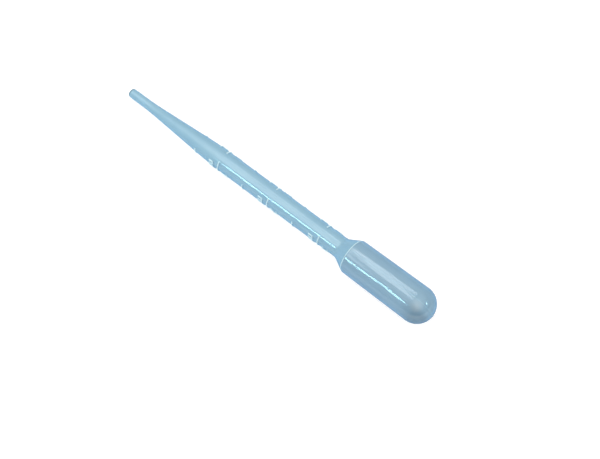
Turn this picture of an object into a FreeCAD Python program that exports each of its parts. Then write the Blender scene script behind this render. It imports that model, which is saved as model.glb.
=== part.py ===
"""A 3 mL graduated transfer pipette, blow-moulded in thin LDPE, modelled zone by zone.

The origin is the middle of the tip's outlet. +X runs up the pipette to its bulb, +Z is up and the
mould's parting plane is XZ. All sizes are in millimetres.
"""
import FreeCAD, Part
import math
import os
import Sketcher

DIMENSIONS = {
    # Tip, stem and bulb, measured along the pipette from the outlet, with radii from its axis
    "overall_length": 155.0,
    "nozzle_length": 11.5,
    "nozzle_radius": 1.9,
    "nozzle_bore": 1.35,
    "lip_rounding": 1.1,
    "outlet_radius": 0.75,
    "outlet_length": 0.7,
    "bore_start": 1.9,
    "stem_start": 46.0,
    "stem_end": 110.8,
    "stem_radius": 4.2,
    "stem_bore": 3.525,
    "bulb_start": 116.05,
    "bulb_front_radius": 7.15,
    "bulb_back_radius": 7.4,
    "bulb_wall": 0.6,
    # The squeezed zone of the bulb: two rails on the weld line and a wall on each side between them
    "collar_end": 120.0,
    "squeeze_end": 146.2,
    "rail_height": 5.3,
    "wall_gap": 0.3,
    # Marks that the mould leaves
    "nub_radius": 0.8,
    "nub_height": 0.4,
    "seam_relief": 0.12,
    "seam_width": 0.4,
    # Graduation lines, numerals and unit marks, raised on the stem
    "half_ml_line": 38.3,
    "one_ml_line": 50.75,
    "mark_relief": 0.25,
    "line_width": 0.5,
    "stroke_width": 0.5,
    "whole_line_angle": 120.0,
    "half_line_angle": 60.0,
    "numeral_height": 3.1,
    "numeral_rise": 2.2,
    "unit_height": 2.7,
    "unit_drop": 4.45,
}

SIDES = {"left": 1, "right": -1}
HALF_ML = 500.0  # cubic millimetres
LINE_LABELS = ("0_5", "1_0", "1_5", "2_0", "2_5", "3_0")

doc = FreeCAD.newDocument("transfer_pipette")
sheet = doc.addObject("Spreadsheet::Sheet", "dims")
parts = {}


def fill_sheet():
    """Write one row for each driving dimension, with its name as the cell's alias."""
    for row, (name, value) in enumerate(DIMENSIONS.items(), start=1):
        sheet.set(f"A{row}", name)
        sheet.set(f"B{row}", str(value))
        sheet.setAlias(f"B{row}", name)
    doc.recompute()


def number(expression):
    """The value that an expression of the sheet has now."""
    value = sheet.evalExpression(expression.replace("dims.", ""))
    return float(getattr(value, "Value", value))


def bind(feature, **expressions):
    """Bind properties of a feature to expressions of the sheet."""
    for name, expression in expressions.items():
        feature.setExpression(name, expression)


def bind_base(feature, x, y, z):
    """Bind a feature's position to three expressions of the sheet."""
    for axis, expression in zip("xyz", (x, y, z)):
        feature.setExpression(f"Placement.Base.{axis}", expression)


def on_line(x, x_low, radius_low, x_high, radius_high):
    """The radius at x on a straight flank between two stations."""
    slope = f"({radius_high} - {radius_low}) / ({x_high} - {x_low})"
    return f"({radius_low} + ({x} - {x_low}) * {slope})"


# Stations and radii worked out from the driving dimensions
DOME_TIP = "(dims.overall_length - dims.nub_height)"
DOME_CENTRE = "(dims.overall_length - dims.nub_height - dims.bulb_back_radius)"
BULB_FRONT_BORE = "(dims.bulb_front_radius - dims.bulb_wall)"
BULB_BACK_BORE = "(dims.bulb_back_radius - dims.bulb_wall)"


def taper_radius(x):
    """Outside radius of the long taper at x."""
    return on_line(x, "dims.nozzle_length", "dims.nozzle_radius", "dims.stem_start", "dims.stem_radius")


def bulb_radius(x):
    """Outside radius at x of the bulb, which widens a little towards its dome."""
    return on_line(x, "dims.bulb_start", "dims.bulb_front_radius", DOME_CENTRE, "dims.bulb_back_radius")


def bulb_bore(x):
    """Inside radius of the bulb at x."""
    return f"({bulb_radius(x)} - dims.bulb_wall)"


# Sketches


def pin_point(sketch, edge, end, x, y):
    """Hold one end of a sketch edge at (x, y), each an expression of the sheet."""
    for kind, axis, expression in (("DistanceX", -2, x), ("DistanceY", -1, y)):
        value = number(expression)
        if abs(value) < 1e-9:
            sketch.addConstraint(Sketcher.Constraint("PointOnObject", edge, end, axis))
            continue
        index = sketch.addConstraint(Sketcher.Constraint(kind, edge, end, value))
        sketch.setExpression(f"Constraints[{index}]", expression)


def quarter_arc(start, end):
    """A quarter circle about the pipette's axis between a point on the axis and one beside it."""
    on_axis, beside = (start, end) if abs(start.y) < 1e-9 else (end, start)
    circle = Part.Circle(FreeCAD.Vector(beside.x, 0, 0), FreeCAD.Vector(0, 0, 1), on_axis.x - beside.x)
    return Part.ArcOfCircle(circle, 0, math.pi / 2)


def draw_profile(sketch, corners, round_edges=()):
    """Draw a closed outline; each edge whose number is in round_edges is a quarter of the dome."""
    points = [FreeCAD.Vector(number(x), number(y), 0) for x, y in corners]
    ends = []
    for index, start in enumerate(points):
        end = points[(index + 1) % len(points)]
        if index in round_edges:
            edge = sketch.addGeometry(quarter_arc(start, end))
            sketch.addConstraint(Sketcher.Constraint("PointOnObject", edge, 3, -1))
            ends.append((edge, 1, 2) if abs(start.y) < 1e-9 else (edge, 2, 1))
        else:
            ends.append((sketch.addGeometry(Part.LineSegment(start, end)), 1, 2))
    for index, (edge, first, _) in enumerate(ends):
        previous, _, last = ends[index - 1]
        sketch.addConstraint(Sketcher.Constraint("Coincident", previous, last, edge, first))
        pin_point(sketch, edge, first, *corners[index])


def plane_of(body, role):
    """One of a body's own origin planes."""
    return next(feature for feature in body.Origin.OriginFeatures if feature.Role == role)


def turned(label, corners, round_edges=(), plane="XZ_Plane", angle=None):
    """A body turned about the pipette's axis, all the way round or over an angle astride its plane."""
    body = doc.addObject("PartDesign::Body", label)
    body.Label = label
    sketch = body.newObject("Sketcher::SketchObject", f"{label}_profile")
    sketch.AttachmentSupport = [(plane_of(body, plane), "")]
    sketch.MapMode = "FlatFace"
    draw_profile(sketch, corners, round_edges)
    revolution = body.newObject("PartDesign::Revolution", f"{label}_turned")
    revolution.Profile = sketch
    revolution.ReferenceAxis = (sketch, ["H_Axis"])
    revolution.Angle = 360
    if angle:
        revolution.Midplane = True
        bind(revolution, Angle=angle)
    return body


def make_tube(label, x_low, bore_low, radius_low, x_high, bore_high, radius_high):
    """A round tube or hollow cone between two stations."""
    corners = [(x_low, bore_low), (x_high, bore_high), (x_high, radius_high), (x_low, radius_low)]
    parts[label] = turned(label, corners)


# Tip, stem and the fixed zones of the bulb


def make_dropping_tip():
    """The straight nozzle, which closes in round a small outlet with a broad, round lip."""
    corners = [
        ("0", "dims.outlet_radius"),
        ("dims.outlet_length", "dims.outlet_radius"),
        ("dims.bore_start", "dims.nozzle_bore"),
        ("dims.nozzle_length", "dims.nozzle_bore"),
        ("dims.nozzle_length", "dims.nozzle_radius"),
        ("0", "dims.nozzle_radius"),
    ]
    body = turned("dropping_tip", corners)
    parts["dropping_tip"] = body
    doc.recompute()
    turned_nozzle = body.Tip
    lip = next(
        f"Edge{index}"
        for index, edge in enumerate(turned_nozzle.Shape.Edges, start=1)
        if edge.BoundBox.XMax < 1e-6 and edge.BoundBox.ZMax > number("dims.nozzle_radius") - 1e-6
    )
    rounding = body.newObject("PartDesign::Fillet", "lip_round")
    rounding.Base = (turned_nozzle, [lip])
    bind(rounding, Radius="dims.lip_rounding")


def make_tubes():
    """The taper, the graduated stem, the shoulder and the collar, each joined to the next."""
    nozzle_end = ("dims.nozzle_length", "dims.nozzle_bore", "dims.nozzle_radius")
    stem_front = ("dims.stem_start", "dims.stem_bore", "dims.stem_radius")
    stem_back = ("dims.stem_end", "dims.stem_bore", "dims.stem_radius")
    bulb_front = ("dims.bulb_start", BULB_FRONT_BORE, "dims.bulb_front_radius")
    collar_back = ("dims.collar_end", bulb_bore("dims.collar_end"), bulb_radius("dims.collar_end"))
    make_tube("tip_taper", *nozzle_end, *stem_front)
    make_tube("stem_barrel", *stem_front, *stem_back)
    make_tube("stem_shoulder", *stem_back, *bulb_front)
    make_tube("bulb_collar", *bulb_front, *collar_back)


def make_dome():
    """The closed end: a short ring, then a hemisphere of the same wall."""
    corners = [
        ("dims.squeeze_end", bulb_radius("dims.squeeze_end")),
        (DOME_CENTRE, "dims.bulb_back_radius"),
        (DOME_TIP, "0"),
        (f"({DOME_TIP} - dims.bulb_wall)", "0"),
        (DOME_CENTRE, BULB_BACK_BORE),
        ("dims.squeeze_end", bulb_bore("dims.squeeze_end")),
    ]
    parts["bulb_dome"] = turned("bulb_dome", corners, round_edges=(1, 3))


def along_x(feature):
    """Turn a primitive whose axis is Z so that it runs along the pipette."""
    feature.Placement = FreeCAD.Placement(
        FreeCAD.Vector(), FreeCAD.Rotation(FreeCAD.Vector(0, 1, 0), 90)
    )


def make_nub():
    """The small scar where the mould pinched the tube shut, seated on the dome."""
    blank = doc.addObject("Part::Cylinder", "nub_blank")
    along_x(blank)
    bind(blank, Radius="dims.nub_radius", Height="dims.nub_radius + dims.nub_height")
    bind_base(blank, f"{DOME_TIP} - dims.nub_radius", "0", "0")
    dome = doc.addObject("Part::Sphere", "nub_seat")
    bind(dome, Radius="dims.bulb_back_radius")
    bind_base(dome, DOME_CENTRE, "0", "0")
    parts["pinch_off_nub"] = boolean("Part::Cut", "pinch_off_nub", blank, dome)


def boolean(kind, label, base, tool):
    """A cut or a common of two shapes."""
    result = doc.addObject(kind, label)
    result.Label = label
    result.Base = base
    result.Tool = tool
    return result


# The squeezed zone of the bulb


def bulb_cone(name, x_low, x_high, radius_rule):
    """A solid cone between two stations of the bulb."""
    cone = doc.addObject("Part::Cone", name)
    along_x(cone)
    bind(cone, Radius1=radius_rule(x_low), Radius2=radius_rule(x_high), Height=f"{x_high} - {x_low}")
    bind_base(cone, x_low, "0", "0")
    return cone


def bulb_ring(name, x_low, x_high):
    """The bulb's wall between two stations."""
    outside = bulb_cone(f"{name}_outside", x_low, x_high, bulb_radius)
    inside = bulb_cone(f"{name}_inside", x_low, x_high, bulb_bore)
    return boolean("Part::Cut", f"{name}_ring", outside, inside)


def region(name, y_low, y_high, z_low, z_high):
    """A box over the whole bulb, between two heights and two sides."""
    box = doc.addObject("Part::Box", name)
    bind(box, Length="dims.overall_length", Width=f"{y_high} - {y_low}", Height=f"{z_high} - {z_low}")
    bind_base(box, "0", y_low, z_low)
    return box


def make_rails():
    """The two stiff strips of the bulb along the weld line."""
    reach = "(2 * dims.bulb_back_radius)"
    for side, z_low, z_high in (
        ("upper", "dims.rail_height", reach),
        ("lower", f"-{reach}", "-dims.rail_height"),
    ):
        label = f"bulb_rail_{side}"
        ring = bulb_ring(label, "dims.collar_end", "dims.squeeze_end")
        strip = region(f"{label}_strip", f"-{reach}", reach, z_low, z_high)
        parts[label] = boolean("Part::Common", label, ring, strip)


def make_squeeze_walls():
    """The two flexible walls between the rails, with a gap all round for their travel."""
    reach = "(2 * dims.bulb_back_radius)"
    half_height = "(dims.rail_height - dims.wall_gap)"
    x_low = "(dims.collar_end + dims.wall_gap)"
    x_high = "(dims.squeeze_end - dims.wall_gap)"
    for side, y_low, y_high in (("left", "0", reach), ("right", f"-{reach}", "0")):
        label = f"squeeze_wall_{side}"
        ring = bulb_ring(label, x_low, x_high)
        strip = region(f"{label}_strip", y_low, y_high, f"-{half_height}", half_height)
        parts[label] = boolean("Part::Common", label, ring, strip)


# Marks that the mould leaves along its parting plane


def stem_ridge_corners():
    """The ridge's section from the taper to the shoulder; the nozzle has none."""
    foot = [
        ("dims.nozzle_length", "dims.nozzle_radius"),
        ("dims.stem_start", "dims.stem_radius"),
        ("dims.stem_end", "dims.stem_radius"),
        ("dims.bulb_start", "dims.bulb_front_radius"),
    ]
    crest = [(x, f"{radius} + dims.seam_relief") for x, radius in foot]
    return foot + crest[::-1]


def bulb_ridge_corners():
    """The ridge's section along the bulb and over its dome."""
    return [
        ("dims.bulb_start", "dims.bulb_front_radius"),
        (DOME_CENTRE, "dims.bulb_back_radius"),
        (DOME_TIP, "0"),
        (f"{DOME_TIP} + dims.seam_relief", "0"),
        (DOME_CENTRE, "dims.bulb_back_radius + dims.seam_relief"),
        ("dims.bulb_start", "dims.bulb_front_radius + dims.seam_relief"),
    ]


def make_seams():
    """The parting ridges above and below: a turned skin, kept only next to the parting plane."""
    bulb_blank = turned("bulb_seam_blank", bulb_ridge_corners(), round_edges=(1, 3))
    skins = {
        "stem_seam": turned("stem_seam_skin", stem_ridge_corners()),
        "bulb_seam": boolean("Part::Cut", "bulb_seam_skin", bulb_blank, doc.getObject("nub_blank")),
    }
    half_width = "(dims.seam_width / 2)"
    reach = "(2 * dims.bulb_back_radius)"
    for side, z_low, z_high in (("upper", "0", reach), ("lower", f"-{reach}", "0")):
        strip = region(f"seam_strip_{side}", f"-{half_width}", half_width, z_low, z_high)
        for name, skin in skins.items():
            label = f"{name}_{side}"
            parts[label] = boolean("Part::Common", label, skin, strip)


# The scale, raised on both sides of the stem


def line_station(half_steps):
    """Where a graduation line stands; above 1 mL, half a millilitre of bore apart."""
    if half_steps == 1:
        return "dims.half_ml_line"
    half_ml_of_bore = f"({HALF_ML} / ({math.pi} * dims.stem_bore^2))"
    return f"(dims.one_ml_line + {half_steps - 2} * {half_ml_of_bore})"


def make_line(label, sign, half_steps):
    """One graduation line: long at a whole millilitre and short at a half."""
    middle = line_station(half_steps)
    low = f"({middle} - dims.line_width / 2)"
    high = f"({middle} + dims.line_width / 2)"
    wall = taper_radius if half_steps == 1 else lambda x: "dims.stem_radius"
    corners = [
        (low, f"{sign} * {wall(low)}"),
        (high, f"{sign} * {wall(high)}"),
        (high, f"{sign} * ({wall(high)} + dims.mark_relief)"),
        (low, f"{sign} * ({wall(low)} + dims.mark_relief)"),
    ]
    angle = "dims.half_line_angle" if half_steps % 2 else "dims.whole_line_angle"
    parts[label] = turned(label, corners, plane="XY_Plane", angle=angle)


def make_mark_shell():
    """The thin shell on the stem that raised characters fill."""
    cylinders = []
    for name, radius in (
        ("mark_crest", "dims.stem_radius + dims.mark_relief"),
        ("mark_foot", "dims.stem_radius"),
    ):
        cylinder = doc.addObject("Part::Cylinder", name)
        along_x(cylinder)
        bind(cylinder, Radius=radius, Height="dims.stem_end - dims.stem_start")
        bind_base(cylinder, "dims.stem_start", "0", "0")
        cylinders.append(cylinder)
    return boolean("Part::Cut", "mark_shell", *cylinders)


def around(centre, radius, degrees):
    """A point on a circle, in the units of a character."""
    angle = math.radians(degrees)
    return (centre[0] + radius * math.cos(angle), centre[1] + radius * math.sin(angle))


def arch(left, top, span):
    """The pen path of one arch of an m: up, over a half circle, and down."""
    centre = (left + span / 2, top - span / 2)
    rise = ((left, centre[1]), None)
    over = ((left + span, centre[1]), centre)
    return [((left, 0.0), None), rise, over, ((left + span, 0.0), None)]


def two_path():
    """The pen path of a 2: a bowl, a slanted stroke and a foot."""
    centre, radius = (0.0, 0.71), 0.29
    bowl_end = (around(centre, radius, -35), centre)
    return [(around(centre, radius, 165), None), bowl_end, ((-0.3, 0.0), None), ((0.32, 0.0), None)]


def three_path():
    """The pen path of a 3: two bowls that meet in the middle."""
    upper, upper_radius = (0.0, 0.77), 0.23
    lower, lower_radius = (0.0, 0.27), 0.27
    waist = (around(upper, upper_radius, -90), upper)
    lower_end = (around(lower, lower_radius, -155), lower)
    return [(around(upper, upper_radius, 155), None), waist, lower_end]


# Pen paths of each character: points to the right of its middle and above its foot, as shares of its
# height. A point with a centre is reached by a clockwise arc about it.
CHARACTERS = {
    "numeral_1": [[((-0.2, 0.78), None), ((0.06, 1.0), None), ((0.06, 0.0), None)]],
    "numeral_2": [two_path()],
    "numeral_3": [three_path()],
    "unit": [
        arch(-0.88, 0.7, 0.44),
        arch(-0.44, 0.7, 0.44),
        [((0.38, 1.0), None), ((0.38, 0.0), None), ((0.92, 0.0), None)],
    ],
}


def clockwise_arc(start, end, centre):
    """The arc from start to end that runs clockwise about its centre."""
    first = math.atan2(end.y - centre.y, end.x - centre.x)
    last = math.atan2(start.y - centre.y, start.x - centre.x)
    if last < first:
        last += 2 * math.pi
    circle = Part.Circle(centre, FreeCAD.Vector(0, 0, 1), (start - centre).Length)
    return Part.ArcOfCircle(circle, first, last)


def draw_pen_path(sketch, path, height):
    """Draw an open line of straight strokes and arcs, scaled by the character's height."""
    scale = number(height)
    points = [FreeCAD.Vector(u * scale, v * scale, 0) for (u, v), _ in path]
    previous = None
    for index, (_, centre) in enumerate(path[1:], start=1):
        start, end = points[index - 1], points[index]
        if centre:
            middle = FreeCAD.Vector(centre[0] * scale, centre[1] * scale, 0)
            edge = sketch.addGeometry(clockwise_arc(start, end, middle))
            first, last = 2, 1
            level = sketch.addConstraint(Sketcher.Constraint("DistanceY", edge, 3, middle.y))
            sketch.setExpression(f"Constraints[{level}]", f"{centre[1]} * {height}")
        else:
            edge = sketch.addGeometry(Part.LineSegment(start, end))
            first, last = 1, 2
        if previous:
            sketch.addConstraint(Sketcher.Constraint("Coincident", *previous, edge, first))
        u, v = path[index - 1][0]
        pin_point(sketch, edge, first, f"{u} * {height}", f"{v} * {height}")
        previous = (edge, last)
    u, v = path[-1][0]
    pin_point(sketch, *previous, f"{u} * {height}", f"{v} * {height}")


def make_stroke(name, path, sign, x, height):
    """One pen stroke of a character, standing out from inside the stem's wall on one side."""
    outward = FreeCAD.Vector(0, sign, 0)
    rightward = FreeCAD.Vector(0, 0, sign)
    upward = FreeCAD.Vector(1, 0, 0)
    sketch = doc.addObject("Sketcher::SketchObject", f"{name}_pen")
    draw_pen_path(sketch, path, height)
    sketch.Placement.Rotation = FreeCAD.Rotation(rightward, upward, outward, "ZXY")
    bind_base(sketch, x, f"{sign} * dims.stem_bore / 2", "0")
    outline = doc.addObject("Part::Offset2D", f"{name}_outline")
    outline.Source = sketch
    outline.Mode = "Pipe"
    outline.Join = "Arc"
    outline.Fill = True
    bind(outline, Value="dims.stroke_width / 2")
    stroke = doc.addObject("Part::Extrusion", f"{name}_stroke")
    stroke.Base = outline
    stroke.DirMode = "Custom"
    stroke.Dir = outward
    stroke.Solid = True
    bind(stroke, LengthFwd="dims.stem_radius")
    return stroke


def make_character(label, kind, sign, x, height, shell):
    """A raised character that follows the stem's curve."""
    strokes = [
        make_stroke(f"{label}_{index}", path, sign, x, height)
        for index, path in enumerate(CHARACTERS[kind])
    ]
    shape = strokes[0]
    if len(strokes) > 1:
        shape = doc.addObject("Part::MultiFuse", f"{label}_strokes")
        shape.Shapes = strokes
    parts[label] = boolean("Part::Common", label, shape, shell)


def make_scale():
    """Both scales: a line each half millilitre, and a numeral and a unit at each whole one."""
    shell = make_mark_shell()
    for side, sign in SIDES.items():
        for half_steps, name in enumerate(LINE_LABELS, start=1):
            make_line(f"graduation_line_{name}_{side}", sign, half_steps)
        for value in (1, 2, 3):
            line = line_station(2 * value)
            numeral_x = f"({line} + dims.numeral_rise)"
            unit_x = f"({line} - dims.unit_drop)"
            numeral = f"numeral_{value}"
            make_character(f"{numeral}_{side}", numeral, sign, numeral_x, "dims.numeral_height", shell)
            make_character(f"unit_mark_{value}_{side}", "unit", sign, unit_x, "dims.unit_height", shell)


def check_document():
    """Stop if any object failed, or if a sub-part has no valid shape."""
    doc.recompute()
    for feature in doc.Objects:
        if "Invalid" in feature.State or "Error" in feature.State:
            raise RuntimeError(f"{feature.Label} failed: {feature.State}")
    for label, part in parts.items():
        if part.Shape.isNull() or not part.Shape.isValid() or not part.Shape.Solids:
            raise RuntimeError(f"{label} has no valid solid")


def export_parts():
    """Write each sub-part to its own file, named after its label."""
    os.makedirs("parts", exist_ok=True)
    for label, part in parts.items():
        part.Shape.exportStep(f"parts/{label}.step")


fill_sheet()
make_dropping_tip()
make_tubes()
make_dome()
make_nub()
make_rails()
make_squeeze_walls()
make_seams()
make_scale()
check_document()
export_parts()
for part_label, part in parts.items():
    box = part.Shape.BoundBox
    print(f"{part_label}: {part.Shape.Volume:.2f} mm3, x {box.XMin:.2f} to {box.XMax:.2f}")
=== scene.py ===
"""A milky, light blue transfer pipette lying on a pale table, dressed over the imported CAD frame.

All lengths are in metres. +X runs from the tip to the bulb, the parting plane is XZ and the two
scales face +Y and -Y.
"""
import math

import bmesh
import bpy
import numpy as np
from mathutils import Matrix, Vector, noise


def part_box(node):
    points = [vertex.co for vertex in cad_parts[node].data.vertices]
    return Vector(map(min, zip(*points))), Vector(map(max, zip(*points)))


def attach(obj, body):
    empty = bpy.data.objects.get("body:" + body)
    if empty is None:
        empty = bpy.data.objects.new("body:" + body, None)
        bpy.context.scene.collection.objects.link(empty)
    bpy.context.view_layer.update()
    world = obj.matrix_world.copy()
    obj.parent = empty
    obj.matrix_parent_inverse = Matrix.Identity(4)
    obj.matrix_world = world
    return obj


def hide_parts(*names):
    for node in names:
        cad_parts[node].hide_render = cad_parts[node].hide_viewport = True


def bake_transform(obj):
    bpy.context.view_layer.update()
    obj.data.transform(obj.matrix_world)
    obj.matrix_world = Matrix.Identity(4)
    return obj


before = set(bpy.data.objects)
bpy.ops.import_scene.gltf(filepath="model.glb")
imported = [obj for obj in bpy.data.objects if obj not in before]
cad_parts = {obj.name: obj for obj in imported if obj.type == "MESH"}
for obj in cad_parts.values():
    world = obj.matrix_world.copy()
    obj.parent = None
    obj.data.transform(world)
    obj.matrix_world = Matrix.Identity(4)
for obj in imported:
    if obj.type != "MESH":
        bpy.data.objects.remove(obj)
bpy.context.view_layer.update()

MM = 0.001

# Stations along the pipette and outside radii, from the CAD nodes' boxes
NOZZLE_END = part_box("dropping_tip")[1].x
STEM_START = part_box("stem_barrel")[0].x
STEM_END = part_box("stem_barrel")[1].x
BULB_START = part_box("stem_shoulder")[1].x
COLLAR_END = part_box("bulb_collar")[1].x
SQUEEZE_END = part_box("bulb_dome")[0].x
DOME_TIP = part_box("bulb_dome")[1].x
NOZZLE_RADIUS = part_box("dropping_tip")[1].z
STEM_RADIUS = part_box("stem_barrel")[1].z
BULB_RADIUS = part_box("bulb_dome")[1].z
SHOULDER_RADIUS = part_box("stem_shoulder")[1].z
DOME_CENTRE = DOME_TIP - BULB_RADIUS
SQUEEZE_MIDDLE = (COLLAR_END + SQUEEZE_END) / 2

# Wall thicknesses of the blown tube
TIP_WALL = 0.55 * MM
STEM_WALL = 0.675 * MM
BULB_WALL = 0.6 * MM

# The outlet, which closes in behind a broad round lip
OUTLET_RADIUS = 0.75 * MM
OUTLET_LENGTH = 0.7 * MM
OUTLET_ROUNDING = 0.12 * MM
BORE_START = 1.9 * MM
LIP_ROUNDING = 1.1 * MM

# Raised details of the moulding: how wide, how high, and how deep their edges sink into the wall
SEAM_WIDTH = 0.4 * MM
STEM_SEAM_HEIGHT = 0.04 * MM
BULB_SEAM_HEIGHTS = (0.015 * MM, 0.07 * MM)
SEAM_SINK = 0.01 * MM
SEAM_STOP = 0.7 * MM  # how far from the pole the seams end, under the nub
WITNESS_WIDTH = 0.4 * MM
WITNESS_HEIGHT = 0.06 * MM
WITNESS_SINK = 0.02 * MM
FOOT_HEIGHT = 0.07 * MM  # a mark's faces below this are its foot
FOOT_SINK = 0.03 * MM
NUB_SINK = 0.05 * MM
NUB_FLATNESS = 0.45
NUB_CROWN = 0.6

# Spacing of the stations on straight and on curved stretches, and points round the tube
COARSE_STEP = 0.5 * MM
BULB_STEP = 0.35 * MM
FINE_STEP = 0.08 * MM
ROUND = np.linspace(0, 2 * math.pi, 128, endpoint=False)

# The wall as it was blown: where each flank starts, its slope, and how softly it turns there
FLANKS = (
    (NOZZLE_END, (STEM_RADIUS - NOZZLE_RADIUS) / (STEM_START - NOZZLE_END), 3.0 * MM),
    (STEM_START, 0.0, 4.0 * MM),
    (STEM_END, (SHOULDER_RADIUS - STEM_RADIUS) / (BULB_START - STEM_END), 0.5 * MM),
    (BULB_START, (BULB_RADIUS - SHOULDER_RADIUS) / (DOME_CENTRE - BULB_START), 0.35 * MM),
)


def outline_radius(x):
    """Outside radius at each x ahead of the dome, with softly turned corners."""
    radius = np.full_like(x, NOZZLE_RADIUS)
    slope_before = 0.0
    for start, slope, softness in FLANKS:
        past = x - start
        reached = (past + np.sqrt(past**2 + softness**2)) / 2
        radius = radius + (slope - slope_before) * reached
        slope_before = slope
    return radius


def wall_thickness(x):
    """Thickness of the wall at each x."""
    places = (0.0, NOZZLE_END, STEM_START, STEM_END, BULB_START, DOME_TIP)
    walls = (TIP_WALL, TIP_WALL, STEM_WALL, STEM_WALL, BULB_WALL, BULB_WALL)
    return np.interp(x, places, walls)


LONG_WAVE = (17 * MM, 6 * MM)  # lengths along and across the pipette
SHORT_WAVE = (4 * MM, 3 * MM)
SHORT_WAVE_SHARE = 0.12
INWARD_SHIFT = 0.6


def wave(point, lengths):
    """Noise of the given lengths along and across the pipette."""
    along, across = lengths
    return noise.noise(Vector((point[0] / along, point[1] / across, point[2] / across)))


def waviness(x, y, z):
    """How far the blown wall wanders from a true round at each point, mostly inward."""
    shift = []
    for point in zip(x.ravel(), y.ravel(), z.ravel()):
        shift.append(wave(point, LONG_WAVE) + SHORT_WAVE_SHARE * wave(point, SHORT_WAVE) - INWARD_SHIFT)
    return np.array(shift).reshape(x.shape)


# Small pits and grains left by the mould: station, angle from +Z towards -Y, width along, width
# around and height
FLAWS = (
    (136.6 * MM, 21.0, 0.9 * MM, 0.45 * MM, 0.05 * MM),
    (137.6 * MM, 27.0, 0.6 * MM, 0.6 * MM, -0.04 * MM),
    (121.6 * MM, 31.0, 0.5 * MM, 0.5 * MM, 0.03 * MM),
    (145.0 * MM, 30.0, 1.5 * MM, 0.6 * MM, 0.03 * MM),
    (134.5 * MM, 37.0, 5.5 * MM, 1.5 * MM, -0.10 * MM),
    (151.2 * MM, -9.0, 0.7 * MM, 0.6 * MM, 0.04 * MM),
)


def flaws(x, radius, angle):
    """The height of the mould's small pits and grains at each point."""
    height = np.zeros(np.broadcast(x, angle).shape)
    for station, turn, length, width, rise in FLAWS:
        apart = (angle + math.radians(turn) + math.pi) % (2 * math.pi) - math.pi
        height = height + rise * np.exp(-(((x - station) / length) ** 2) - (radius * apart / width) ** 2)
    return height


def wave_depth(x):
    """How deep the waves are at each x: the blown bulb wanders more than the thin tip."""
    places = (0.0, STEM_START, STEM_END, BULB_START + 4 * MM)
    return np.interp(x, places, (0.004 * MM, 0.007 * MM, 0.007 * MM, 0.022 * MM))


# Mesh building


def new_object(name, vertices, faces, material):
    """A smooth-shaded mesh object with one material."""
    mesh = bpy.data.meshes.new(name)
    mesh.from_pydata([tuple(v) for v in vertices], [], faces)
    mesh.validate()
    piece = bpy.data.objects.new(name, mesh)
    bpy.context.collection.objects.link(piece)
    return smooth(piece, material)


def smooth(piece, material):
    """Shade a piece smooth, in one material."""
    piece.data.polygons.foreach_set("use_smooth", [True] * len(piece.data.polygons))
    piece.data.materials.clear()
    piece.data.materials.append(material)
    return piece


def grid_faces(rows, columns, closed, start=0, flip=False):
    """Quads of a grid of points; a closed grid joins its last column to its first.

    They face outward where rows follow the pipette and columns go round from +Z to +Y, and inward
    when flipped.
    """
    faces = []
    for row in range(rows - 1):
        for column in range(columns if closed else columns - 1):
            after = (column + 1) % columns
            corners = (row * columns + column, row * columns + after)
            quad = [start + i for i in (*corners, corners[1] + columns, corners[0] + columns)]
            faces.append(quad if flip else quad[::-1])
    return faces


def wavy_points(x, radius, angle):
    """Points of the blown wall, row by row; angle 0 is +Z and a quarter turn is +Y."""
    x, radius, angle = np.broadcast_arrays(x, radius, angle)
    y = radius * np.sin(angle)
    z = radius * np.cos(angle)
    shift = wave_depth(x) * waviness(x, y, z) + flaws(x, radius, angle)
    growth = 1 + shift / np.maximum(radius, 0.5 * MM)
    return np.stack([x, y * growth, z * growth], axis=-1).reshape(-1, 3)


def wavy_surface(x, radius, angles):
    """Points of a wall of revolution, one row to a station."""
    return wavy_points(x[:, None], radius[:, None], angles[None, :])


def shell(name, x, radius, material, angles=None):
    """A thin wall of revolution: an outer and an inner surface, all round or over the angles given."""
    closed = angles is None
    if closed:
        angles = ROUND
    slope = np.gradient(radius, x)
    length = np.sqrt(1 + slope**2)
    wall = wall_thickness(x)
    inner_x = x + slope / length * wall
    inner_radius = radius - wall / length
    outer = wavy_surface(x, radius, angles)
    inner = wavy_surface(inner_x, inner_radius, angles)
    rows, columns = len(x), len(angles)
    faces = grid_faces(rows, columns, closed)
    faces += grid_faces(rows, columns, closed, start=len(outer), flip=True)
    vertices = np.concatenate([outer, inner])
    return new_object(name, vertices, faces, material)


def stations(start, end, step):
    """Evenly spaced stations along the pipette, about a step apart."""
    return np.linspace(start, end, max(3, round((end - start) / step) + 1))


def dress(piece, nodes, body="moulding"):
    """Let a piece stand for its CAD nodes, which are hidden, and ride on their body."""
    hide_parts(*nodes)
    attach(piece, body)
    return piece


# Materials


def link(tree, source, output, target, socket):
    """Join two nodes of a material; of the sockets that share a name, the one in use is taken."""
    outputs = [o for o in source.outputs if o.name == output and o.enabled]
    inputs = [i for i in target.inputs if i.name == socket and i.enabled]
    tree.links.new(outputs[0], inputs[0])


def stretched_noise(tree, scale, detail):
    """Noise over the piece's own coordinates, with its own scale in each direction."""
    coordinates = tree.nodes.new("ShaderNodeTexCoord")
    mapping = tree.nodes.new("ShaderNodeMapping")
    mapping.inputs["Scale"].default_value = scale
    texture = tree.nodes.new("ShaderNodeTexNoise")
    texture.inputs["Scale"].default_value = 1.0
    texture.inputs["Detail"].default_value = detail
    link(tree, coordinates, "Object", mapping, "Vector")
    link(tree, mapping, "Vector", texture, "Vector")
    return texture


def remap(tree, source, low, high):
    """Spread a noise's middle values between two numbers."""
    node = tree.nodes.new("ShaderNodeMapRange")
    node.inputs["From Min"].default_value = 0.3
    node.inputs["From Max"].default_value = 0.7
    node.inputs["To Min"].default_value = low
    node.inputs["To Max"].default_value = high
    link(tree, source, "Fac", node, "Value")
    return node


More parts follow.
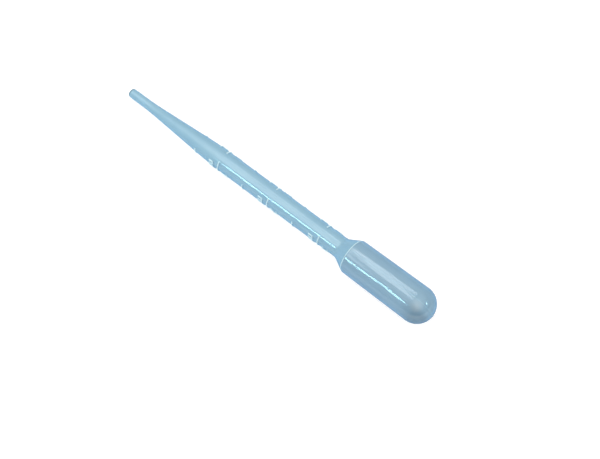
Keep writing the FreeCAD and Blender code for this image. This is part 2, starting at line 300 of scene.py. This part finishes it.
def plastic(name, clear, cloudy, tint, transmission, roughness, bump):
    """Milky LDPE: cloudy under a thin tinted skin, with drawn-out gloss streaks and a painted shade on the
    dome's -Y side.

    The tint is the skin's colour seen square on; a slanting ray goes through more of it.
    """
    material = bpy.data.materials.new(name)
    material.use_nodes = True
    tree = material.node_tree
    shader = tree.nodes["Principled BSDF"]
    shader.inputs["IOR"].default_value = PLASTIC_IOR
    shader.inputs["Coat Weight"].default_value = 1.0
    shader.inputs["Coat IOR"].default_value = SKIN_IOR
    shader.inputs["Coat Tint"].default_value = (*tint, 1)
    under_skin = [[part / dimming for part, dimming in zip(colour, tint)] for colour in (clear, cloudy)]
    clouds = stretched_noise(tree, *CLOUDS)
    body_colour = mix_colours(tree, *under_skin)
    link(tree, remap(tree, clouds, 0, 1), "Result", body_colour, "Factor")
    station = along_pipette(tree)
    # Painted shade: the side that faces -Y is painted darker towards the bulb's end, most of all at the dome
    dome_side_shade = ramp(tree, station, "X", DOME_SHADE_STRETCH, DOME_SHADE_DEPTHS)
    shade_side_mask = ramp(tree, station, "Y", DOME_SHADE_SIDE, (1, 0))
    dome_side_shade = number_step(tree, "MULTIPLY", dome_side_shade.outputs["Result"], shade_side_mask.outputs["Result"])
    # The lip, which closes in, is deeper in colour all round
    lip = ramp(tree, station, "X", LIP_STRETCH, (LIP_DEPTH, 0))
    # The lip's deeper colour and the painted shade on the dome, whichever is stronger
    lip_tone_and_painted_shade = number_step(tree, "MAXIMUM", dome_side_shade.outputs["Value"], lip.outputs["Result"])
    colour = mix_colours(tree, body_colour, LIP_AND_SHADE_COLOUR)
    link(tree, lip_tone_and_painted_shade, "Value", colour, "Factor")
    link(tree, colour, "Result", shader, "Base Color")
    # Gloss and clearness fade where the wall is seen edge on
    edge_on = tree.nodes.new("ShaderNodeLayerWeight")
    gloss = ramp(tree, edge_on, "Facing", GLOSS_RANGE, GLOSS_LEVELS)
    link(tree, gloss, "Result", shader, "Specular IOR Level")
    clearness = ramp(tree, edge_on, "Facing", CLEAR_RANGE, (transmission, 0))
    link(tree, clearness, "Result", shader, "Transmission Weight")
    streaks = stretched_noise(tree, *STREAKS)
    link(tree, remap(tree, streaks, *roughness), "Result", shader, "Roughness")
    peel = stretched_noise(tree, *PEEL)
    relief = tree.nodes.new("ShaderNodeBump")
    relief.inputs["Strength"].default_value = bump
    relief.inputs["Distance"].default_value = PEEL_HEIGHT
    link(tree, peel, "Fac", relief, "Height")
    link(tree, relief, "Normal", shader, "Normal")
    return material


def number_step(tree, operation, first, second):
    """One step of arithmetic on two outputs."""
    node = tree.nodes.new("ShaderNodeMath")
    node.operation = operation
    tree.links.new(first, node.inputs[0])
    tree.links.new(second, node.inputs[1])
    return node


def along_pipette(tree):
    """A node whose outputs are the place on the pipette: X is the station, Y the side."""
    coordinates = tree.nodes.new("ShaderNodeTexCoord")
    split = tree.nodes.new("ShaderNodeSeparateXYZ")
    link(tree, coordinates, "Object", split, "Vector")
    return split


def ramp(tree, source, output, levels, results):
    """A soft step of a value between two levels, from one result to another."""
    node = tree.nodes.new("ShaderNodeMapRange")
    node.interpolation_type = "SMOOTHSTEP"
    node.inputs["From Min"].default_value, node.inputs["From Max"].default_value = levels
    node.inputs["To Min"].default_value, node.inputs["To Max"].default_value = results
    link(tree, source, output, node, "Value")
    return node


def mix_colours(tree, first, second):
    """A node that blends two colours, of which the first may be such a node's result."""
    node = tree.nodes.new("ShaderNodeMix")
    node.data_type = "RGBA"
    sockets = {socket.name + socket.type: socket for socket in node.inputs}
    if isinstance(first, bpy.types.Node):
        link(tree, first, "Result", node, "A")
    else:
        sockets["ARGBA"].default_value = (*first, 1)
    sockets["BRGBA"].default_value = (*second, 1)
    return node


PLASTIC_IOR = 1.5
SKIN_IOR = 1.01
SKIN_TINT = (0.76, 0.82, 0.88)
NO_TINT = (1, 1, 1)

# Noise: its scale along and across the pipette, and its detail
CLOUDS = ((90, 260, 260), 3)
STREAKS = ((40, 1800, 1800), 4)
PEEL = ((500, 900, 900), 2)
PEEL_HEIGHT = 0.01 * MM

# Where the plastic is deeper in colour at the lip, where shade is painted on the dome's -Y side, and by how
# much
LIP_STRETCH = (0.7 * MM, 1.4 * MM)
LIP_DEPTH = 0.4
DOME_SHADE_STRETCH = (143 * MM, 151 * MM)
DOME_SHADE_DEPTHS = (0.03, 0.28)
DOME_SHADE_SIDE = (-4 * MM, -1 * MM)
LIP_AND_SHADE_COLOUR = (0.05, 0.07, 0.09)

# How far the wall is turned from the eye where clearness and gloss fade, and the gloss there
CLEAR_RANGE = (0.39, 0.82)
GLOSS_RANGE = (0.10, 0.57)
GLOSS_LEVELS = (0.95, 0.08)

# Name, clear and cloudy colour as seen square on, tint of the skin, transmission, least and most
# roughness, strength of the peel
TIP_PLASTIC = plastic(
    "tip_ldpe", (0.39, 0.665, 0.855), (0.355, 0.625, 0.825), SKIN_TINT, 0.3, (0.12, 0.18), 0.2
)
STEM_PLASTIC = plastic(
    "stem_ldpe", (0.39, 0.665, 0.86), (0.355, 0.625, 0.83), SKIN_TINT, 0.3, (0.06, 0.10), 0.15
)
BULB_PLASTIC = plastic(
    "bulb_ldpe", (0.36, 0.585, 0.78), (0.325, 0.54, 0.73), SKIN_TINT, 0.3, (0.05, 0.09), 0.15
)
# The ring's light colour is a painted highlight of the bulb's front corner on a real raised witness line
RING_HIGHLIGHT_PLASTIC = plastic("ring_ldpe", (0.66, 0.90, 0.96), (0.60, 0.86, 0.94), NO_TINT, 0.1, (0.1, 0.2), 0.2)
MARK_PLASTIC = plastic("mark_ldpe", (0.56, 0.80, 0.92), (0.50, 0.74, 0.88), NO_TINT, 0.1, (0.3, 0.45), 0.8)


# The moulding: tip, taper, stem, shoulder and the fixed rings of the bulb

STRAIGHT = 0.8 * MM  # one skin hands over to the next a few of these away from a corner


def tip_path(handover):
    """The tip's section: up the bore to the outlet, round the broad lip and back along the outside."""
    bore = NOZZLE_RADIUS - TIP_WALL
    bore_x = stations(BORE_START, handover, COARSE_STEP)[::-1]
    throat = np.linspace(1, 0, 12)[1:]
    throat_x = OUTLET_LENGTH + (BORE_START - OUTLET_LENGTH) * throat
    throat_radius = OUTLET_RADIUS + (bore - OUTLET_RADIUS) * throat**2 * (3 - 2 * throat)
    turn = np.linspace(0, math.pi / 2, 7)
    edge_x = OUTLET_ROUNDING * (1 - np.sin(turn))
    edge_radius = OUTLET_RADIUS + OUTLET_ROUNDING * (1 - np.cos(turn))
    turn = np.linspace(0, math.pi / 2, 16)
    lip_x = LIP_ROUNDING * (1 - np.sin(turn))[::-1]
    lip_radius = NOZZLE_RADIUS - LIP_ROUNDING * (1 - np.cos(turn))[::-1]
    outside_x = stations(LIP_ROUNDING + 0.3 * MM, handover, COARSE_STEP)
    outside_radius = outline_radius(outside_x)
    x = np.concatenate([bore_x, throat_x, edge_x, lip_x, outside_x])
    radius = [np.full_like(bore_x, bore), throat_radius, edge_radius, lip_radius, outside_radius]
    return x, np.concatenate(radius)


def make_tip():
    """The nozzle, one skin from its bore round the lip to its outside."""
    x, radius = tip_path(NOZZLE_END - STRAIGHT)
    angles = np.linspace(0, 2 * math.pi, 96, endpoint=False)
    points = wavy_surface(x, radius, angles)
    piece = new_object("tip_skin", points, grid_faces(len(x), len(angles), True), TIP_PLASTIC)
    dress(piece, ["dropping_tip"])


def make_moulding():
    """Each stretch of the fixed wall, handed over where the wall is straight or has a ridge on it."""
    make_tip()
    taper_end = STEM_START + 6 * STRAIGHT
    shoulder_start = STEM_END - 2 * STRAIGHT
    shoulder_end = BULB_START - WITNESS_WIDTH / 2  # under the witness line
    ends = (NOZZLE_END - STRAIGHT, taper_end, shoulder_start, shoulder_end, COLLAR_END)
    stretches = (
        ("taper_skin", "tip_taper", COARSE_STEP, TIP_PLASTIC, "tip_plastic"),
        ("barrel_skin", "stem_barrel", COARSE_STEP, STEM_PLASTIC, "stem_plastic"),
        ("shoulder_skin", "stem_shoulder", FINE_STEP, STEM_PLASTIC, "bulb_plastic"),
        ("collar_skin", "bulb_collar", FINE_STEP, BULB_PLASTIC, "bulb_plastic"),
    )
    for start, end, (name, node, step, material, slot) in zip(ends, ends[1:], stretches):
        x = stations(start, end, step)
        dress(shell(name, x, outline_radius(x), material), [node])


def make_dome():
    """The closed end, one round cap inside another."""
    surfaces = []
    for radius in (BULB_RADIUS, BULB_RADIUS - BULB_WALL):
        ring = stations(SQUEEZE_END, DOME_CENTRE, BULB_STEP)[:-1]
        ring_radius = outline_radius(ring) - (BULB_RADIUS - radius)
        turn = np.linspace(0, math.pi / 2 - 0.012, 56)  # stops just short of the pole
        x = np.concatenate([ring, DOME_CENTRE + radius * np.sin(turn)])
        sides = np.concatenate([ring_radius, radius * np.cos(turn)])
        surfaces.append(wavy_surface(x, sides, ROUND))
    columns = len(ROUND)
    rows = len(surfaces[0]) // columns
    faces = []
    for inside in (False, True):
        start = inside * len(surfaces[0])
        faces += grid_faces(rows, columns, True, start=start, flip=inside)
        last_row = list(range(start + (rows - 1) * columns, start + rows * columns))
        faces.append(last_row if inside else last_row[::-1])
    piece = new_object("dome_skin", np.concatenate(surfaces), faces, BULB_PLASTIC)
    dress(piece, ["bulb_dome"])


# The soft part of the bulb

SQUEEZE_BANDS = 11  # odd, so that one band lies in the middle


def make_soft_bulb():
    """Bands of skin on either side of the weld line, standing in for the squeeze walls and the bulb's rails,
    which are hidden.

    The bands split the squeeze zone evenly along the pipette.
    """
    places = np.linspace(-1, 1, SQUEEZE_BANDS + 1)
    half_length = SQUEEZE_MIDDLE - COLLAR_END
    knots = SQUEEZE_MIDDLE + half_length * places
    for side, sign in (("left", 1), ("right", -1)):
        angles = np.linspace(min(0, sign * math.pi), max(0, sign * math.pi), 73)
        for band in range(SQUEEZE_BANDS):
            x = stations(knots[band], knots[band + 1], BULB_STEP)
            piece = shell(f"bulb_skin_{side}_{band + 1}", x, outline_radius(x), BULB_PLASTIC, angles)
            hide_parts(f"squeeze_wall_{side}", "bulb_rail_upper", "bulb_rail_lower")
            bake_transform(piece)


# Marks

MARK_VOXEL = 0.06  # in millimetres


def outer_radius_at(x):
    """Outside radius at one x."""
    return float(outline_radius(np.array([x]))[0])


def make_mark(node):
    """One raised mark: the CAD shape with its edges melted soft, open where it grows from the wall."""
    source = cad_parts[node]
    piece = bpy.data.objects.new(f"{node}_relief", source.data.copy())
    bpy.context.collection.objects.link(piece)
    piece.data.transform(Matrix.Scale(1 / MM, 4))  # in millimetres while it is melted
    remesh = piece.modifiers.new("melt", "REMESH")
    remesh.mode = "VOXEL"
    remesh.voxel_size = MARK_VOXEL
    soften = piece.modifiers.new("soften", "SMOOTH")
    soften.factor = 0.6
    soften.iterations = 4
    depsgraph = bpy.context.evaluated_depsgraph_get()
    melted = bpy.data.meshes.new_from_object(piece.evaluated_get(depsgraph))
    piece.modifiers.clear()
    piece.data = melted
    melted.transform(Matrix.Scale(MM, 4))
    open_foot(melted)
    smooth(piece, MARK_PLASTIC)
    dress(piece, [node])


def open_foot(mesh):
    """Take away the faces against the wall and sink the open edge into it."""
    edit = bmesh.new()
    edit.from_mesh(mesh)
    foot = []
    for face in edit.faces:
        centre = face.calc_center_median()
        outward = Vector((0, centre.y, centre.z)).normalized()
        height = math.hypot(centre.y, centre.z) - outer_radius_at(centre.x)
        if height < FOOT_HEIGHT or face.normal.dot(outward) < -0.5:
            foot.append(face)
    bmesh.ops.delete(edit, geom=foot, context="FACES")
    for vertex in edit.verts:
        if vertex.is_boundary:
            radius = math.hypot(vertex.co.y, vertex.co.z)
            sunk = (outer_radius_at(vertex.co.x) - FOOT_SINK) / radius
            vertex.co.y *= sunk
            vertex.co.z *= sunk
    edit.to_mesh(mesh)
    edit.free()


def make_seam(name, node, x, radius, relief, middle):
    """A low, rounded parting ridge that follows the wall."""
    across = np.linspace(-1, 1, 9)
    rise = relief[:, None] * np.cos(across * math.pi / 2) ** 2 - SEAM_SINK
    forward, outward = np.gradient(x), np.gradient(radius)
    length = np.hypot(forward, outward)
    ridge_x = x[:, None] - rise * (outward / length)[:, None]
    ridge_radius = radius[:, None] + rise * (forward / length)[:, None]
    angles = middle + across * SEAM_WIDTH / 2 / radius[:, None]
    points = wavy_points(ridge_x, ridge_radius, angles)
    piece = new_object(name, points, grid_faces(len(x), len(across), False), STEM_PLASTIC)
    dress(piece, [node])


def make_ring():
    """A fine raised witness line round the bulb's front corner, just ahead of it, in a light colour that is
    a painted highlight along the corner.
    """
    across = np.linspace(-1, 1, 9)
    x = BULB_START + (across - 1) * WITNESS_WIDTH / 2
    rise = WITNESS_HEIGHT * np.cos(across * math.pi / 2) ** 2 - WITNESS_SINK
    points = wavy_surface(x, outline_radius(x) + rise, ROUND)
    faces = grid_faces(len(x), len(ROUND), True)
    piece = new_object("bulb_witness_line", points, faces, RING_HIGHLIGHT_PLASTIC)
    dress(piece, ["bulb_collar"])


def make_seams():
    """The parting ridges above and below, on the stem and over the bulb to its nub."""
    stem_x = stations(NOZZLE_END, BULB_START, COARSE_STEP)
    stem = (stem_x, outline_radius(stem_x), np.full_like(stem_x, STEM_SEAM_HEIGHT))
    bulb_x = stations(BULB_START, DOME_CENTRE, COARSE_STEP)
    turn = np.linspace(0, math.acos(SEAM_STOP / BULB_RADIUS), 32)[1:]
    x = np.concatenate([bulb_x, DOME_CENTRE + BULB_RADIUS * np.sin(turn)])
    radius = np.concatenate([outline_radius(bulb_x), BULB_RADIUS * np.cos(turn)])
    relief = np.interp(x, (SQUEEZE_END, DOME_CENTRE + 1 * MM), BULB_SEAM_HEIGHTS)
    for side, middle in (("upper", 0.0), ("lower", math.pi)):
        make_seam(f"stem_parting_{side}", f"stem_seam_{side}", *stem, middle)
        make_seam(f"bulb_parting_{side}", f"bulb_seam_{side}", x, radius, relief, middle)


def make_marks():
    """Every graduation line, numeral and unit mark."""
    for node in sorted(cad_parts):
        if node.startswith(("graduation_line", "numeral", "unit_mark")):
            make_mark(node)


def make_nub():
    """The flattened scar at the pole, with a soft crown."""
    low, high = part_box("pinch_off_nub")
    across = np.linspace(0, 1, 9)
    angles = np.linspace(0, 2 * math.pi, 40, endpoint=False)
    reach = (high.z - low.z) / 2
    rise = high.x - DOME_TIP
    rings = []
    for share in across:
        x = DOME_TIP - NUB_SINK + (rise + NUB_SINK) * math.cos(share * math.pi / 2) ** NUB_CROWN
        width = reach * share
        for angle in angles:
            rings.append((x, NUB_FLATNESS * width * math.sin(angle), width * math.cos(angle)))
    # The rows run outward from the crown, whose first ring is a single point, so a flat face closes it
    faces = grid_faces(len(across), len(angles), True, flip=True)[len(angles):]
    faces.append(list(range(len(angles), 2 * len(angles)))[::-1])
    piece = new_object("pinch_scar", rings, faces, BULB_PLASTIC)
    dress(piece, ["pinch_off_nub"])


# The room


MIDDLE = Vector((DOME_TIP / 2, 0, 0))
LEAN = math.radians(21)  # how far the bulb leans towards the camera
TURN = math.radians(12)  # how far the pipette is rolled about its axis, its -Y scale towards the camera
ROLL = math.radians(36.68)  # how far the pipette slants down across the frame
LENS = 111.48
CAMERA_DISTANCE = 0.71
CAMERA_SHIFT = (9.22 * MM, -11.53 * MM)  # to the right and up
NEAR_CLIP = 0.01
ROLLED = Matrix.Rotation(TURN, 3, "X")
TOWARDS = ROLLED @ Vector((math.sin(LEAN), 0, math.cos(LEAN)))
ALONG = ROLLED @ Vector((math.cos(LEAN), 0, -math.sin(LEAN)))
SIDEWAYS = ROLLED @ Vector((0, 1, 0))


def make_camera():
    """A long lens over the table, with the pipette slanting down to the right."""
    right = math.cos(ROLL) * ALONG + math.sin(ROLL) * SIDEWAYS
    up = -math.sin(ROLL) * ALONG + math.cos(ROLL) * SIDEWAYS
    data = bpy.data.cameras.new("camera")
    data.lens = LENS
    camera = bpy.data.objects.new("camera", data)
    bpy.context.collection.objects.link(camera)
    place = Matrix((right, up, TOWARDS)).transposed().to_4x4()
    aside, above = CAMERA_SHIFT
    place.translation = MIDDLE + CAMERA_DISTANCE * TOWARDS + aside * right + above * up
    camera.matrix_world = place
    data.clip_start = NEAR_CLIP
    bpy.context.scene.camera = camera


def make_light(
    name, start, end, turn, spread, distance, radiance, tint, faces=None, shape="RECTANGLE", beam=180
):
    """A softbox beside the pipette's axis, from one station to another.

    Its turn about the axis, towards -Y, and its spread are in degrees as the pipette sees them. It
    faces the axis squarely, or a station on it. A narrow beam, in degrees, gives it soft edges.
    """
    around = ROLLED @ Matrix.Rotation(math.radians(turn), 3, "X")
    station = (start + end) / 2
    middle = Vector((station, 0, 0)) + distance * (around @ Vector((0, 0, 1)))
    facing = (middle - Vector((station if faces is None else faces, 0, 0))).normalized()
    along = Vector((1, 0, 0))
    along = (along - along.dot(facing) * facing).normalized()
    data = bpy.data.lights.new(name, "AREA")
    data.shape = shape
    data.spread = math.radians(beam)
    data.size = end - start
    data.size_y = 2 * distance * math.tan(math.radians(spread / 2))
    data.energy = radiance * math.pi * data.size * data.size_y
    data.color = tint
    light = bpy.data.objects.new(name, data)
    bpy.context.collection.objects.link(light)
    pose = Matrix((along, facing.cross(along), facing)).transposed().to_4x4()
    pose.translation = middle
    light.matrix_world = pose


TABLE_SIZE = 6.0
TABLE_GAP = 0.13 * MM  # leaves room for the lower seam and the start of the stem
TABLE_COLOUR = (0.8, 0.8, 0.8, 1)
TABLE_GLOW = 0.42


def make_floor():
    """A pale table in line with the tip and the shoulder's rim, just under both."""
    tilt = math.atan2(SHOULDER_RADIUS - NOZZLE_RADIUS, BULB_START)
    mesh = bpy.data.meshes.new("table")
    half = TABLE_SIZE / 2
    corners = [(-half, -half, 0), (half, -half, 0), (half, half, 0), (-half, half, 0)]
    mesh.from_pydata(corners, [], [(0, 1, 2, 3)])
    floor = bpy.data.objects.new("table", mesh)
    bpy.context.collection.objects.link(floor)
    floor.rotation_euler = (0, tilt, 0)
    floor.location = (0, 0, -(NOZZLE_RADIUS + TABLE_GAP) / math.cos(tilt))
    material = bpy.data.materials.new("table_white")
    material.use_nodes = True
    shader = material.node_tree.nodes["Principled BSDF"]
    shader.inputs["Base Color"].default_value = TABLE_COLOUR
    shader.inputs["Roughness"].default_value = 0.9
    shader.inputs["Specular IOR Level"].default_value = 0.1
    shader.inputs["Emission Color"].default_value = (1, 1, 1, 1)
    shader.inputs["Emission Strength"].default_value = TABLE_GLOW
    mesh.materials.append(material)


# The surround's colours, from the side that faces -Y over the zenith to the side that faces +Y
SURROUND = ((0.0, (0.0, 0.20, 0.50)), (0.5, (1.0, 1.03, 1.06)), (1.0, (1.5, 1.42, 1.34)))
SURROUND_TURN = math.radians(-35)
SURROUND_STRENGTH = 0.53


def make_world():
    """A dim surround, darker and bluer on the side that faces -Y and the bulb's end."""
    world = bpy.data.worlds.new("studio")
    bpy.context.scene.world = world
    world.use_nodes = True
    tree = world.node_tree
    coordinates = tree.nodes.new("ShaderNodeTexCoord")
    mapping = tree.nodes.new("ShaderNodeMapping")
    mapping.inputs["Rotation"].default_value = (0, 0, SURROUND_TURN)
    split = tree.nodes.new("ShaderNodeSeparateXYZ")
    side = tree.nodes.new("ShaderNodeMapRange")
    side.inputs["From Min"].default_value = -1.0
    colours = tree.nodes.new("ShaderNodeValToRGB")
    colours.color_ramp.elements.new(0.5)
    for stop, (place, colour) in zip(colours.color_ramp.elements, SURROUND):
        stop.position = place
        stop.color = (*colour, 1)
    background = tree.nodes["Background"]
    link(tree, coordinates, "Generated", mapping, "Vector")
    link(tree, mapping, "Vector", split, "Vector")
    link(tree, split, "Y", side, "Value")
    link(tree, side, "Result", colours, "Fac")
    link(tree, colours, "Color", background, "Color")
    background.inputs["Strength"].default_value = SURROUND_STRENGTH


OVERHEAD = 0.564  # how far the boxes and strips above the pipette are from its axis
BOX_TURN = -13
BULB_BOX_TURN = -28.5


def make_room():
    """A soft studio: a surround, broad boxes towards +Y, narrow strips towards -Y and lights on the dome."""
    make_world()
    make_light("box_over_taper", -0.36, -0.24, BOX_TURN, 60, OVERHEAD, 1.7, (1, 1, 0.95))
    make_light("box_over_stem", -0.24, -0.100, BOX_TURN, 66, OVERHEAD, 2.1, (1, 1, 0.93))
    make_light("box_over_corner", -0.100, -0.081, BULB_BOX_TURN, 47, OVERHEAD, 2.2, (1, 0.95, 0.9))
    make_light("box_over_bulb", -0.081, -0.037, BULB_BOX_TURN, 47, OVERHEAD, 3.4, (1, 1, 0.95))
    make_light("strip_over_stem", -0.202, -0.094, 36.5, 10, OVERHEAD, 14.5, (0.6, 1, 1))
    make_light("strip_over_bulb", -0.094, -0.0315, 38, 9, OVERHEAD, 12.0, (0.6, 1, 1))
    make_light("end_box", 0.56, 0.68, -62, 12, 0.35, 13.0, (0.7, 1, 1), DOME_CENTRE)
    make_light("end_glow", 0.44, 0.72, -60, 36, 0.36, 0.5, (0.2, 1, 1), DOME_CENTRE, "ELLIPSE")
    make_light("bounce", -0.22, 0.92, 8, 102, 0.53, 0.42, (1, 0.70, 0.46), DOME_CENTRE, "ELLIPSE", 90)
    bpy.context.scene.view_settings.view_transform = "Standard"


make_camera()
make_moulding()
make_soft_bulb()
make_dome()
make_nub()
make_seams()
make_ring()
make_marks()
make_floor()
make_room()
